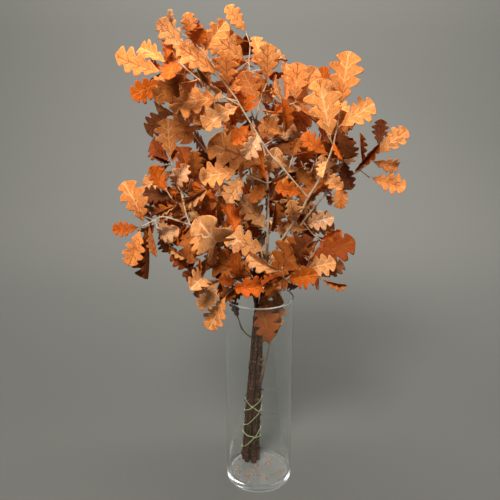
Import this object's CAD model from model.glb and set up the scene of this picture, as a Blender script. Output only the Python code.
# %% [markdown]
# # Oak branches in autumn leaf, in a glass cylinder vase
# The real thing is about seven cut oak branches, tied with thin twine and standing in a tall clear
# glass cylinder. The box of the plain model is kept first, because what is made here has to keep to
# it, but for a few millimetres.

import math
import random

import bpy
from mathutils import Matrix, Vector, kdtree, noise
from mathutils.bvhtree import BVHTree


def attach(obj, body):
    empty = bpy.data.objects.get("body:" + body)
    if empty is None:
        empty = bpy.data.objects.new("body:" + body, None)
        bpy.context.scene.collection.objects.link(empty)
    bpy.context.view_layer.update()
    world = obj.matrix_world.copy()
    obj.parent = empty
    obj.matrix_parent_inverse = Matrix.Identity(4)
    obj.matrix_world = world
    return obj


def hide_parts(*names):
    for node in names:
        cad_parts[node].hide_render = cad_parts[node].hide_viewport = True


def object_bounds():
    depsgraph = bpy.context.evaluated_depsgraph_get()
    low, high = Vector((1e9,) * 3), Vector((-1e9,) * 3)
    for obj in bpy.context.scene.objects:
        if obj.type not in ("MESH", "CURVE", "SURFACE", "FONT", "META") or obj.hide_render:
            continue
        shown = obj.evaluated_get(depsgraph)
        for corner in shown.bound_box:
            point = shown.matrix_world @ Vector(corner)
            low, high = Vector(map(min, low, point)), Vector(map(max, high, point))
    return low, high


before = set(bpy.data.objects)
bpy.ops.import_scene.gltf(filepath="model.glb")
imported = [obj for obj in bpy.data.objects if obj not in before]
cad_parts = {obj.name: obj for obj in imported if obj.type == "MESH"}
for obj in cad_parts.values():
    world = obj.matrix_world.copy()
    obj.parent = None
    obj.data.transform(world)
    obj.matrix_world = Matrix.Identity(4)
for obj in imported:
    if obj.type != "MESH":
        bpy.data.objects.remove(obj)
cad_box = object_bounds()
print("nodes:", sorted(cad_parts))
print("box:", [[round(number, 3) for number in corner] for corner in cad_box])

# %% [markdown]
# ## Sizes of the vase and the bundle
# A cylinder vase is a turned shape: one section swept round an axis. The stems inside it stand as a
# bundle, and a bundle is easiest to say level by level: where its middle is, how far apart the stems
# stand, how thick they are and how far the whole bundle has turned. The stems keep their places in the
# ring as it turns, so they wind past one another and never cross.

# %% Sizes of the vase and the bundle
MM = 0.001
VASE_HEIGHT = 450 * MM
VASE_RADIUS = 75 * MM
WALL = 3.6 * MM
FLOOR = 14 * MM
FOOT_ROUND = 6 * MM
INNER_ROUND = 11 * MM
VASE_STEPS = 32

# Height, middle across, middle in depth, spacing across, spacing in depth, stem radius, turn
BUNDLE = (
    (14.3, -19, 34, 16.4, 12.4, 5.9, -26),
    (34, -19, 34, 16.0, 12.4, 5.9, -26),
    (95, -17, 28, 13.8, 12.4, 5.9, -20),
    (165, -13.5, 20, 12.6, 12.4, 5.9, -12),
    (230, -10.5, 15, 11.8, 11.5, 5.4, -8),
    (290, -7.5, 10, 10.4, 10.1, 4.7, -4),
    (366, -4, 5, 9.5, 9.3, 4.2, 0),
    (425, 1, 1, 9.2, 9.2, 4.0, 0),
)
print("the stems stand", BUNDLE[0][0], "mm up and are", 2 * BUNDLE[0][5], "mm thick at the foot")

# %% [markdown]
# ## The viewpoint
# The branches were placed by looking at the real bunch from one side, so their routes are kept as what
# that eye sees: across and down in a frame of 500 by 500, and a depth in millimetres behind the vase's
# axis. Three vectors and one focal length turn such a place into a point in space and back again. The
# camera stands at the same eye, so the render frames the bunch in the same way.

# %% The viewpoint
EYE = Vector((-0.0208, -1.163, 0.887))
PITCH = math.radians(16)
FOCAL = 568.9
MIDDLE = 250
FRAME_SIDE = 500
SENSOR = 36

LOOK = Vector((0, math.cos(PITCH), -math.sin(PITCH)))
UP = Vector((0, math.sin(PITCH), math.cos(PITCH)))
RIGHT = Vector((1, 0, 0))


def seen(across, down, depth):
    """Return the point that shows at a place in the picture, at a depth in millimetres."""
    ray = LOOK + RIGHT * ((across - MIDDLE) / FOCAL) + UP * ((MIDDLE - down) / FOCAL)
    reach = (depth * MM - EYE.y) / ray.y
    return EYE + ray * reach


def shown(point):
    """Return where a point shows in the picture."""
    arm = point - EYE
    away = arm.dot(LOOK)
    return MIDDLE + FOCAL * arm.dot(RIGHT) / away, MIDDLE - FOCAL * arm.dot(UP) / away


camera_data = bpy.data.cameras.new("camera")
camera_data.sensor_width = SENSOR
camera_data.lens = FOCAL / FRAME_SIDE * SENSOR
camera = bpy.data.objects.new("camera", camera_data)
camera.location = EYE
camera.rotation_euler = (math.pi / 2 - PITCH, 0, 0)
bpy.context.scene.collection.objects.link(camera)
bpy.context.scene.camera = camera
print("lens:", round(camera_data.lens, 1), "mm")

# %% [markdown]
# ## The branches, one by one
# A bunch has no symmetry to lean on, so each branch gets its own short list of routes. A route is a
# handful of places that a smooth curve is drawn through later.

# %% A place for the branches
BRANCHES = {}

# %% [markdown]
# ## The thick forked branch
# The thickest stem rises to the right and throws one long fork back to the upper left, so this
# branch carries the two highest groups of leaves. Its twigs are short routes of their own, and each
# leaf is one row: where its stalk starts, where its tip shows, how far the tip leans back, how it
# rolls, how it is curled and its colour. A row a leaf is quicker to judge against the real bunch
# than any rule would be.

# %% The thick forked branch
BRANCHES["branch_1"] = {
    "slot": 320,
    "route": ((270, 270, -8), (277, 248, -14), (300, 213, -26), (308, 198, -32), (320, 178, -44),
              (328, 160, -56), (333, 145, -64), (337, 128, -70), (340, 108, -74)),
    "forks": (
        ((308, 198, -32), (281, 166, -44), (268, 151, -50), (245, 114, -68), (235, 97, -78),
         (222, 80, -86), (213, 65, -94), (200, 48, -102), (190, 40, -108), (175, 28, -116),
         (168, 17, -120)),
        ((256, 394, 0), (261, 380, -9), (264, 368, -13), (267, 355, -16), (269, 346, -18)),
    ),
    "twigs": (
        ((240, 106, -72), (226, 98, -84), (207, 86, -100), (178, 62, -118)),
        ((237, 102, -75), (203, 91, -62), (180, 77, -54), (165, 72, -48)),
        ((222, 78, -88), (200, 64, -72), (182, 52, -58)),
        ((333, 145, -64), (327, 134, -76)),
    ),
    "leaves": (
        (165, 72, 115, 55, -20, 35, "open", "light"),
        (167, 80, 131, 97, -30, -10, "open", "vivid"),
        (168, 64, 140, 48, 25, 20, "cupped", "light"),
        (182, 58, 158, 20, 15, -25, "open", "tan"),
        (170, 24, 170, 9, -10, 0, "curled", "pale"),
        (187, 40, 187, 12, -15, 15, "open", "light"),
        (194, 42, 205, 29, -35, 0, "cupped", "vivid"),
        (222, 76, 178, 46, -25, 25, "open", "light"),
        (178, 64, 168, 80, -35, 30, "cupped", "vivid"),
        (222, 101, 168, 105, -20, 10, "open", "light"),
        (206, 52, 226, 21, -15, 0, "cupped", "light"),
        (230, 86, 226, 50, -20, -20, "open", "light"),
        (237, 110, 204, 129, -20, 20, "cupped", "tan"),
        (248, 122, 231, 143, -25, 0, "cupped", "vivid"),
        (258, 136, 243, 157, -20, -20, "curled", "pale"),
        (332, 143, 319, 78, -15, 0, "open", "light"),
        (340, 108, 349, 51, -20, 0, "open", "light"),
        (339, 128, 374, 103, 10, 10, "open", "light"),
        (327, 155, 302, 134, 12, -10, "open", "vivid"),
        (334, 142, 343, 160, -20, 20, "folded", "vivid"),
        (332, 160, 323, 178, -25, 30, "folded", "tan"),
        (322, 176, 343, 189, -30, 0, "cupped", "tan"),
        (338, 126, 352, 158, 15, 10, "open", "dark"),
        (306, 196, 275, 188, -12, 15, "cupped", "vivid"),
        (312, 190, 297, 169, -20, 10, "cupped", "brown"),
        (296, 220, 290, 200, -25, 10, "cupped", "tan"),
        (268, 354, 288, 302, -8, 0, "cupped", "tan"),
        (269, 346, 260, 306, -10, 20, "cupped", "brown"),
        (269, 346, 278, 292, -12, -10, "open", "tan"),
    ),
}
print("branch_1:", len(BRANCHES["branch_1"]["leaves"]), "leaves in its list")

# %% [markdown]
# ## The thin branch at the right
# A thinner stem bows out to the far right and ends in a small fan of leaves. Its depth grows towards
# the tip, so the fan stands behind the thick branch and not in its plane.

# %% The thin branch at the right
BRANCHES["branch_2"] = {
    "slot": 20,
    "route": ((276, 266, 8), (288, 244, 18), (303, 222, 30), (325, 195, 46), (345, 180, 54),
              (360, 170, 58), (374, 158, 60)),
    "forks": (),
    "twigs": (
        ((325, 195, 46), (327, 180, 54)),
        ((345, 180, 54), (343, 168, 48), (344, 156, 42)),
        ((360, 170, 58), (369, 177, 74)),
        ((374, 158, 60), (378, 147, 46)),
        ((303, 222, 30), (313, 234, 14), (321, 240, -2)),
    ),
    "leaves": (
        (363, 166, 360, 132, -10, 20, "folded", "light"),
        (378, 148, 381, 119, 10, -15, "cupped", "dark"),
        (352, 174, 380, 143, -20, 10, "folded", "vivid"),
        (376, 156, 407, 129, -15, 0, "open", "light"),
        (372, 162, 398, 166, 15, 10, "cupped", "light"),
        (368, 177, 406, 188, -20, -10, "open", "light"),
        (344, 160, 351, 190, -20, 20, "cupped", "dark"),
        (345, 182, 341, 209, -15, 20, "cupped", "light"),
        (308, 222, 334, 217, -35, 0, "cupped", "pale"),
        (321, 240, 342, 231, -20, 10, "cupped", "vivid"),
        (327, 182, 331, 160, 15, 20, "cupped", "brown"),
    ),
}
print("branch_2:", len(BRANCHES["branch_2"]["leaves"]), "leaves in its list")

# %% [markdown]
# ## The middle branch
# The middle stem goes almost straight up behind the fork of the first one and carries the tips at
# the top. Short twigs reach forward from it, so that its leaves cover the stems below.

# %% The middle branch
BRANCHES["branch_3"] = {
    "slot": None,
    "route": ((266, 272, 8), (267, 252, 12), (268, 225, 16), (268, 202, 20), (267, 165, 26),
              (261, 140, 30), (256, 125, 32), (258, 110, 36), (262, 95, 40), (267, 83, 44)),
    "forks": (
        ((257, 127, 32), (251, 108, 44), (250, 77, 56), (249, 60, 62), (250, 45, 66), (246, 33, 68)),
    ),
    "twigs": (
        ((267, 180, 24), (254, 178, 6), (240, 172, -14)),
        ((267, 182, 24), (278, 178, 8), (288, 170, -8), (293, 156, -16)),
        ((264, 146, 30), (275, 139, 16), (285, 136, 4)),
        ((261, 98, 40), (280, 106, 30), (295, 103, 20)),
        ((250, 66, 60), (242, 58, 78)),
    ),
    "leaves": (
        (246, 34, 226, 6, -15, 10, "open", "light"),
        (248, 62, 207, 32, -25, 15, "open", "light"),
        (262, 70, 254, 37, 15, 20, "cupped", "light"),
        (267, 83, 268, 43, -20, 0, "open", "light"),
        (256, 106, 243, 71, -25, -10, "open", "light"),
        (294, 103, 298, 62, -10, 0, "open", "light"),
        (284, 104, 285, 63, 20, 40, "cupped", "light"),
        (295, 103, 316, 67, 18, 10, "cupped", "light"),
        (277, 106, 262, 92, -30, 0, "cupped", "tan"),
        (284, 136, 281, 98, -20, 30, "folded", "vivid"),
        (240, 172, 199, 178, -15, 20, "open", "light"),
        (242, 173, 226, 202, -25, -10, "open", "tan"),
        (267, 172, 277, 147, -25, 10, "cupped", "tan"),
        (270, 142, 294, 124, -15, 15, "cupped", "tan"),
        (289, 168, 275, 157, -25, 0, "cupped", "tan"),
        (264, 167, 208, 143, -30, 0, "open", "light"),
        (267, 186, 251, 203, -30, 10, "cupped", "brown"),
        (268, 231, 243, 196, -30, 10, "open", "tan"),
        (268, 250, 222, 236, -35, 20, "open", "tan"),
        (268, 235, 275, 202, -30, 40, "folded", "brown"),
        (268, 222, 284, 233, -35, 0, "curled", "pale"),
        (293, 158, 299, 138, -10, 10, "cupped", "brown"),
    ),
}
print("branch_3:", len(BRANCHES["branch_3"]["leaves"]), "leaves in its list")

# %% [markdown]
# ## The branch at the left
# This stem leaves the bundle low and swings out to the left, nearly level at its end, with a second
# fork that climbs. Leaves at the ends of such level twigs hang down under their own weight.

# %% The branch at the left
BRANCHES["branch_4"] = {
    "slot": 140,
    "route": ((256, 274, 6), (247, 258, -2), (235, 242, -16), (222, 234, -30), (205, 229, -46),
              (190, 225, -58), (165, 217, -74), (155, 220, -80), (141, 227, -88)),
    "forks": (
        ((190, 225, -58), (185, 210, -46), (182, 194, -32), (177, 185, -22), (173, 172, -12),
         (171, 161, -6)),
    ),
    "twigs": (
        ((182, 194, -32), (190, 188, -46), (193, 180, -54)),
        ((184, 206, -44), (174, 201, -56), (165, 188, -64)),
        ((205, 229, -46), (196, 219, -20), (176, 211, 0), (168, 208, 6)),
        ((154, 221, -80), (160, 234, -92), (168, 242, -98)),
        ((222, 234, -30), (216, 242, -52)),
    ),
    "leaves": (
        (171, 161, 168, 118, -20, 10, "open", "light"),
        (193, 181, 192, 151, -15, 30, "cupped", "brown"),
        (176, 181, 188, 165, -25, 0, "curled", "pale"),
        (168, 194, 150, 166, -14, 20, "cupped", "vivid"),
        (170, 210, 146, 194, -18, 10, "open", "vivid"),
        (143, 225, 123, 182, -10, 20, "cupped", "light"),
        (170, 199, 143, 193, 22, 0, "cupped", "dark"),
        (141, 227, 112, 230, -15, 10, "open", "vivid"),
        (141, 228, 129, 266, -15, -10, "open", "light"),
        (145, 228, 148, 279, 18, 40, "folded", "brown"),
        (150, 224, 157, 257, -25, 30, "folded", "brown"),
        (158, 232, 169, 252, 22, 10, "cupped", "dark"),
        (167, 241, 186, 258, -15, 30, "folded", "tan"),
        (160, 234, 179, 228, -30, 10, "curled", "pale"),
        (190, 226, 190, 264, -25, 0, "open", "brown"),
        (196, 227, 208, 252, -45, 30, "cupped", "light"),
        (216, 241, 212, 265, -20, 20, "cupped", "tan"),
        (220, 233, 190, 207, -25, 10, "open", "tan"),
        (206, 229, 196, 218, -35, 0, "curled", "tan"),
        (234, 241, 224, 204, -20, 10, "cupped", "vivid"),
    ),
}
print("branch_4:", len(BRANCHES["branch_4"]["leaves"]), "leaves in its list")

# %% [markdown]
# ## The low branch at the right
# A short stem leans out over the rim at the front right. Its leaves are browner, because they sit in
# the shade of the ones above.

# %% The low branch at the right
BRANCHES["branch_5"] = {
    "slot": 260,
    "route": ((268, 294, -22), (275, 288, -40), (284, 281, -58), (298, 272, -74), (310, 275, -84),
              (321, 279, -92)),
    "forks": (),
    "twigs": (
        ((284, 281, -58), (282, 268, -66)),
        ((298, 272, -74), (304, 264, -66)),
    ),
    "leaves": (
        (270, 284, 302, 240, -18, 10, "open", "brown"),
        (300, 270, 336, 262, -20, 10, "open", "tan"),
        (304, 264, 355, 240, 25, 0, "open", "rust"),
        (318, 277, 343, 263, 15, 10, "cupped", "dark"),
        (320, 279, 347, 285, -15, 40, "folded", "brown"),
        (286, 280, 318, 274, -35, 10, "cupped", "vivid"),
        (272, 290, 259, 306, -18, 0, "cupped", "dark"),
    ),
}
print("branch_5:", len(BRANCHES["branch_5"]["leaves"]), "leaves in its list")

# %% [markdown]
# ## The low branch at the left
# Its partner leans over the rim at the front left. Some of its leaves are small and rolled up, which
# is how the lowest leaves of a cut oak branch dry first.

# %% The low branch at the left
BRANCHES["branch_6"] = {
    "slot": 200,
    "route": ((253, 294, -18), (247, 286, -40), (237, 279, -58), (222, 279, -72), (209, 281, -82),
              (192, 278, -92)),
    "forks": (),
    "twigs": (
        ((252, 342, 6), (243, 330, -8), (238, 317, -20)),
        ((237, 279, -58), (234, 288, -74), (227, 294, -86)),
        ((247, 286, -40), (252, 276, -56)),
    ),
    "leaves": (
        (252, 277, 206, 260, -25, 20, "open", "brown"),
        (244, 283, 222, 249, 15, 20, "cupped", "vivid"),
        (244, 281, 220, 300, -25, 20, "cupped", "brown"),
        (250, 288, 229, 298, 12, 10, "open", "dark"),
        (224, 287, 198, 308, -20, 10, "open", "tan"),
        (222, 283, 197, 292, -8, 10, "cupped", "tan"),
        (204, 281, 196, 297, 18, 0, "cupped", "dark"),
        (192, 278, 183, 272, -20, 0, "curled", "dark"),
        (226, 295, 209, 330, -12, 10, "open", "light"),
        (238, 317, 234, 302, -10, 0, "curled", "dark"),
        (252, 280, 247, 297, -30, 0, "cupped", "brown"),
        (200, 280, 190, 290, -30, 0, "curled", "tan"),
    ),
}
print("branch_6:", len(BRANCHES["branch_6"]["leaves"]), "leaves in its list")

# %% [markdown]
# ## The branch at the back
# The last stem leans away from the viewpoint and forks to both sides. Only a few of its leaves show
# from the front, but a bunch is seen from all round, so it has as much wood as the others.

# %% The branch at the back
BRANCHES["branch_7"] = {
    "slot": 80,
    "route": ((264, 284, 26), (263, 262, 50), (260, 240, 74), (257, 205, 100), (250, 170, 118),
              (246, 142, 130)),
    "forks": (
        ((260, 240, 74), (283, 216, 102), (305, 185, 122), (318, 150, 126), (322, 115, 118),
         (321, 94, 112)),
        ((257, 205, 100), (232, 182, 112), (205, 150, 112), (185, 124, 104), (171, 108, 96)),
    ),
    "twigs": (
        ((260, 240, 74), (240, 232, 108), (224, 222, 134)),
        ((283, 216, 102), (298, 222, 132), (308, 230, 152)),
        ((257, 205, 100), (268, 192, 138), (276, 180, 164)),
        ((250, 170, 118), (240, 152, 148), (236, 138, 166)),
        ((308, 178, 123), (302, 164, 150), (297, 152, 168)),
        ((222, 170, 112), (214, 172, 140), (206, 172, 158)),
    ),
    "leaves": (
        (171, 108, 147, 133, 10, 20, "open", "dark"),
        (172, 109, 191, 143, -15, 20, "open", "light"),
        (178, 116, 190, 104, -25, 0, "cupped", "pale"),
        (321, 94, 324, 66, -10, 10, "cupped", "vivid"),
        (321, 98, 304, 72, 15, 10, "cupped", "brown"),
    ),
}
print("branch_7:", len(BRANCHES["branch_7"]["leaves"]), "leaves in its list")

# %% [markdown]
# ## From routes to wood
# A stem is made of the levels of the bundle and then of its own route above the rim. A smooth curve
# through a few points is drawn with the Catmull-Rom formula, which passes through every one of them.
# Forks and twigs start on the wood that is already there, at the point that shows nearest, so that no
# twig can float.

# %% Smooth routes
CROWN_STEP = 58 * MM
TWIG_STEP = 44 * MM
FORK_SHARE = 0.78
TWIG_RADIUS = 1.9 * MM
TIP_RADIUS = 1.3 * MM
STEM_TIP_RADIUS = 1.45 * MM


def smooth(points, step):
    """Return points about a step apart on a smooth curve through the given ones."""
    ends = [points[0] * 2 - points[1]] + list(points) + [points[-1] * 2 - points[-2]]
    line = [points[0]]
    for before, start, end, after in zip(ends, ends[1:], ends[2:], ends[3:]):
        count = max(1, round((end - start).length / step))
        for index in range(1, count + 1):
            t = index / count
            line.append(0.5 * (2 * start + (end - before) * t
                               + (2 * before - 5 * start + 4 * end - after) * t ** 2
                               + (3 * start - before - 3 * end + after) * t ** 3))
    return line

# %% Stems from the foot to the tip
def level_at(height):
    """Return the bundle's middle, spacing, radius and turn at any height, in millimetres."""
    for below, above in zip(BUNDLE, BUNDLE[1:]):
        if height <= above[0]:
            share = (height - below[0]) / (above[0] - below[0])
            return tuple(a + (b - a) * share for a, b in zip(below, above))
    return BUNDLE[-1]


def slot_centre(slot, level):
    """Return where a stem's axis stands in the bundle at one of its levels."""
    height, across, depth, wide, deep, _, turn = level
    centre = Vector((across, depth, height)) * MM
    if slot is not None:
        angle = math.radians(slot + turn)
        centre += Vector((math.cos(angle) * wide, math.sin(angle) * deep, 0)) * MM
    return centre


def grow_stem(plan):
    """Return a whole stem as points and radii, from the vase's floor to its tip."""
    foot = [slot_centre(plan["slot"], level) for level in BUNDLE]
    radii = [level[5] * MM for level in BUNDLE]
    crown = smooth([foot[-1]] + [seen(*place) for place in plan["route"]], CROWN_STEP)[1:]
    for index in range(len(crown)):
        share = (index + 1) / len(crown)
        radii.append(radii[len(BUNDLE) - 1] * (1 - share) + STEM_TIP_RADIUS * share)
    return foot + crown, radii

# %% Forks and twigs
# Where a leaf's base may stand off the wood before it gets a twiglet, how much further its tip leans
# than its row says, and how a twiglet rises and which depths it tries
REACH = 6
LEAN = 1.5
TWIGLET_LEAN = 0.3
TWIGLET_RISE = 0.06
TWIGLET_SHIFTS = (0, -10, 10, -22, 22)
NEAR_PARTS = 4
DEPTH_WEIGHT = 0.25
SHELL_ROOM = 1.25


class Wood:
    """The stem, forks and twigs of one branch, as lists of points and radii."""

    def __init__(self):
        self.rods = []

    def nearest(self, across, down, depth=None):
        """Return the point of the wood that shows nearest to a place, its radius and distance."""
        best = None
        for points, radii in self.rods:
            for start, end, big, small in zip(points, points[1:], radii, radii[1:]):
                for part in range(NEAR_PARTS + 1):
                    share = part / NEAR_PARTS
                    point = start.lerp(end, share)
                    x, y = shown(point)
                    distance = math.hypot(x - across, y - down)
                    if depth is not None:
                        distance += abs(point.y / MM - depth) * DEPTH_WEIGHT
                    if best is None or distance < best[2]:
                        best = (point, big + (small - big) * share, distance)
        return best

    def add_rod(self, places, step, thickest=math.inf):
        """Add a fork or twig that starts on the wood already there."""
        root, near, _ = self.nearest(*places[0])
        thick = min(near * FORK_SHARE, thickest)
        points = smooth([root] + [seen(*place) for place in places[1:]], step)
        count = len(points) - 1
        radii = [thick + (TIP_RADIUS - thick) * index / count for index in range(count + 1)]
        self.rods.append((points, radii))


def grow_wood(plan):
    """Return the wood of one branch."""
    wood = Wood()
    wood.rods.append(grow_stem(plan))
    for route in plan["forks"]:
        wood.add_rod(route, CROWN_STEP)
    for route in plan["twigs"]:
        wood.add_rod(route, TWIG_STEP, TWIG_RADIUS)
    return wood


def spread(limits, chance):
    """Return the value that lies a chance of 0 to 1 between two limits."""
    return limits[0] + (limits[1] - limits[0]) * chance


woods = {name: grow_wood(plan) for name, plan in BRANCHES.items()}
print("rods of wood:", sum(len(wood.rods) for wood in woods.values()))

# %% [markdown]
# ## The form of an oak leaf
# An oak blade is narrow at its base, widest past its middle, and cut into round lobes that point
# forward. One formula gives half its width: a plain envelope, less a notch at each place between two
# lobes. Points further from the midrib are pushed towards the tip, which bends the lobes forward and
# makes the lines of equal t run like the side veins do.

# %% Half the width of a blade
BLADE_THICKNESS = 0.8 * MM
CLEARANCE = 0.35 * MM
NECK_SHARE = 0.1
NECK_HALF = 1.0 * MM
WIDTH_SHARE = 0.84
BASE_TAPER = 1.1
TIP_TAPER = 0.65
FULLNESS = 2.85
LOBE_PERIOD = 0.23
FIRST_LOBE = 0.2
LOBE_STAGGER = 0.018
LOBE_DEPTH = 0.5
NOTCH_POWER = 2.5
PLAIN_BASE = 0.2
PLAIN_TIP = 0.12
LOBE_SWEEP = math.radians(10)
# How far along the blade the coarse outline has its corners, and the midrib its own
COARSE_EDGE = (0.04, 0.2, 0.315, 0.43, 0.545, 0.66, 0.775, 0.89)
COARSE_RIB = (0.3, 0.58, 0.98)
# The rib point that each stretch of the coarse edge fans out from
FAN = (0, 0, 0, 1, 1, 1, 2)
# How much one leaf differs from the next: shares of its form's fold and bend, and of the width
FOLD_SPREAD = (0.7, 1.3)
BEND_SPREAD = (0.6, 1.4)
BROAD_SPREAD = (0.9, 1.12)
BACKWARD_SHARE = 0.28
TWIST = math.radians(34)
TWIST_START = 0.3
FOLD_START = 0.25
WAVES = 9


def spread(limits, chance):
    """Return the value that lies a chance of 0 to 1 between two limits."""
    return limits[0] + (limits[1] - limits[0]) * chance


def half_width(t, side):
    """Return half the blade's width, as a share of its greatest, at t from its base to its tip."""
    envelope = (t ** BASE_TAPER) * ((1 - t) ** TIP_TAPER) * FULLNESS
    phase = (t - FIRST_LOBE - LOBE_STAGGER * side) / LOBE_PERIOD
    notch = (0.5 - 0.5 * math.cos(2 * math.pi * phase)) ** NOTCH_POWER
    depth = LOBE_DEPTH * min(1, t / PLAIN_BASE) * min(1, (1 - t) / PLAIN_TIP)
    return envelope * (1 - depth * notch)


print("widest point:", round(max(half_width(step / 100, 1) for step in range(101)), 2))

# %% [markdown]
# ## A leaf in space
# A dry leaf is folded a little at its midrib, bent along its length, twisted and rippled at its edge.
# All of that is worked out for a point on the flat leaf, so the coarse blade that tests for room and
# the fine blade that is rendered lie in the same place.

# %% A leaf in space
# Fold at the midrib, bend along the length and height of the edge's wave
SHAPES = {
    "open": (9, 26, 2.6),
    "cupped": (27, 42, 3.0),
    "folded": (60, 30, 1.6),
    "curled": (36, 120, 2.4),
}


class Leaf:
    """One oak leaf, posed between its root on the wood and its tip."""

    def __init__(self, root, tip, roll, form, tone, chance):
        fold, bend, wave = SHAPES[form]
        self.root = root
        self.tone = tone
        self.along = (tip - root).normalized()
        toward = EYE - (root + tip) / 2
        flat = (toward - self.along * toward.dot(self.along)).normalized()
        self.normal = Matrix.Rotation(math.radians(roll), 3, self.along) @ flat
        self.side = self.normal.cross(self.along)
        self.fold = math.radians(fold * spread(FOLD_SPREAD, chance[0]))
        self.bend = math.radians(bend * spread(BEND_SPREAD, chance[1]))
        if chance[2] > 1 - BACKWARD_SHARE:
            self.bend = -self.bend
        self.wave = wave * MM
        self.phase = 2 * math.pi * chance[3]
        self.twist = TWIST * (chance[4] - 0.5)
        self.broad = spread(BROAD_SPREAD, chance[5])
        self.length = (tip - root).length * (self.bend / 2) / math.sin(self.bend / 2)

    def point(self, a, b):
        """Return the point that lies a along the leaf and b across it before it curls."""
        share = a / self.length
        angle = self.bend * (share - 0.5)
        arm = self.length / self.bend
        x = arm * (math.sin(angle) + math.sin(self.bend / 2))
        z = arm * (math.cos(angle) - math.cos(self.bend / 2))
        lift = self.along * math.sin(angle) + self.normal * math.cos(angle)
        turn = self.twist * (share - TWIST_START)
        side = self.side * math.cos(turn) + lift * math.sin(turn)
        rise = lift * math.cos(turn) - self.side * math.sin(turn)
        hand = 1 if b >= 0 else -1
        out = abs(b) / (self.length * WIDTH_SHARE / 2)
        fold = self.fold * min(1, share / FOLD_START)
        ripple = self.wave * min(1, out) ** 2 * math.sin(WAVES * share + self.phase + hand)
        flat = self.root + self.along * x + self.normal * z
        return flat + side * (b * math.cos(fold)) + rise * (abs(b) * math.sin(fold) + ripple)

    def blade(self, t, across):
        """Return the point at t from the blade's base to its tip, and -1 to 1 across it."""
        hand = 1 if across >= 0 else -1
        long = self.length * (1 - NECK_SHARE)
        b = half_width(t, hand) * across * long * WIDTH_SHARE / 2 * self.broad
        b += hand * NECK_HALF * (1 - t) * min(1, abs(across))
        a = self.length * NECK_SHARE + long * t + abs(b) * math.tan(LOBE_SWEEP) * (1 - t) ** 0.5
        return self.point(a, b)

    def coarse(self, with_neck=True):
        """Return the corners and triangles of the blade's middle surface, with its stalk."""
        corners = [self.point(0, NECK_HALF), self.point(0, -NECK_HALF)]
        faces = []
        rib = len(corners)
        corners += [self.blade(t, 0) for t in COARSE_RIB]
        firsts = []
        for hand in (1, -1):
            first = len(corners)
            firsts.append(first)
            corners += [self.blade(t, hand) for t in COARSE_EDGE]
            strip = []
            for index, fan in enumerate(FAN):
                strip.append((rib + fan, first + index, first + index + 1))
                if index and fan != FAN[index - 1]:
                    strip.append((rib + fan - 1, first + index, rib + fan))
            faces += [face if hand < 0 else face[::-1] for face in strip]
        faces.append((firsts[0], firsts[1], rib))
        if with_neck:
            faces += [(0, 1, firsts[1]), (0, firsts[1], firsts[0])]
        return corners, faces

# %% [markdown]
# ## Room for every leaf
# No two real leaves pass through each other. A tree of bounding boxes finds crossings quickly, so each
# leaf is tried in its own pose first, then leaned, rolled or shortened by small steps until it is clear
# of all the wood, the glass and the leaves before it.

# %% Shells for the test of clearance
def thickened(corners, faces, half):
    """Return a surface's two faces, half a thickness to each side of it."""
    normals = [Vector() for _ in corners]
    for a, b, c in faces:
        across = (corners[b] - corners[a]).cross(corners[c] - corners[a])
        for index in (a, b, c):
            normals[index] += across
    used = sorted({index for face in faces for index in face})
    place = {index: spot for spot, index in enumerate(used)}
    points = []
    for hand in (1, -1):
        points += [corners[index] + normals[index].normalized() * half * hand for index in used]
    count = len(used)
    triangles = [tuple(place[index] for index in face) for face in faces]
    return points, triangles + [tuple(index + count for index in face) for face in triangles]


def rod_shell(points, radii, grow):
    """Return a rod as a square tube that is a little fatter than it, for the test of clearance."""
    corners = []
    for index, (point, radius) in enumerate(zip(points, radii)):
        way = points[min(index + 1, len(points) - 1)] - points[max(index - 1, 0)]
        across = way.orthogonal().normalized()
        other = way.cross(across).normalized()
        reach = (radius + grow) * SHELL_ROOM
        corners += [point + across * reach, point + other * reach,
                    point - across * reach, point - other * reach]
    faces = []
    for ring in range(len(points) - 1):
        for side in range(4):
            a = ring * 4 + side
            b = ring * 4 + (side + 1) % 4
            faces += [(a, b, b + 4), (a, b + 4, a + 4)]
    return corners, faces


class Space:
    """What each branch already fills, to keep the next leaf or twig clear of it."""

    def __init__(self):
        self.solids = {}
        self.trees = {}

    def add(self, name, corners, faces):
        held = self.solids.setdefault(name, ([], []))
        base = len(held[0])
        held[0].extend(corners)
        held[1].extend(tuple(index + base for index in face) for face in faces)
        self.trees[name] = BVHTree.FromPolygons(*held)

    def hits(self, corners, faces, names):
        tree = BVHTree.FromPolygons(corners, faces)
        return any(self.trees[name].overlap(tree) for name in names if name in self.trees)

# %% Section of the vase
def vase_profile():
    """Return the vase's section, down its outer side and back up its inner one."""
    lip = WALL / 2
    outline = [(VASE_RADIUS - lip, VASE_HEIGHT)]
    for degrees in (30, 60, 90):
        angle = math.radians(degrees)
        outline.append((VASE_RADIUS - lip + lip * math.sin(angle),
                        VASE_HEIGHT - lip + lip * math.cos(angle)))
    for degrees in (0, 30, 60, 90):
        angle = math.radians(degrees)
        outline.append((VASE_RADIUS - FOOT_ROUND * (1 - math.cos(angle)),
                        FOOT_ROUND * (1 - math.sin(angle))))
    outline.append((0, 0))
    outline.append((0, FLOOR))
    inner = VASE_RADIUS - WALL
    for degrees in (90, 60, 30, 0):
        angle = math.radians(degrees)
        outline.append((inner - INNER_ROUND * (1 - math.cos(angle)),
                        FLOOR + INNER_ROUND * (1 - math.sin(angle))))
    outline.append((inner, VASE_HEIGHT - lip))
    for degrees in (60, 30):
        angle = math.radians(degrees)
        outline.append((inner + lip * (1 - math.sin(angle)), VASE_HEIGHT - lip + lip * math.cos(angle)))
    return outline

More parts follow.
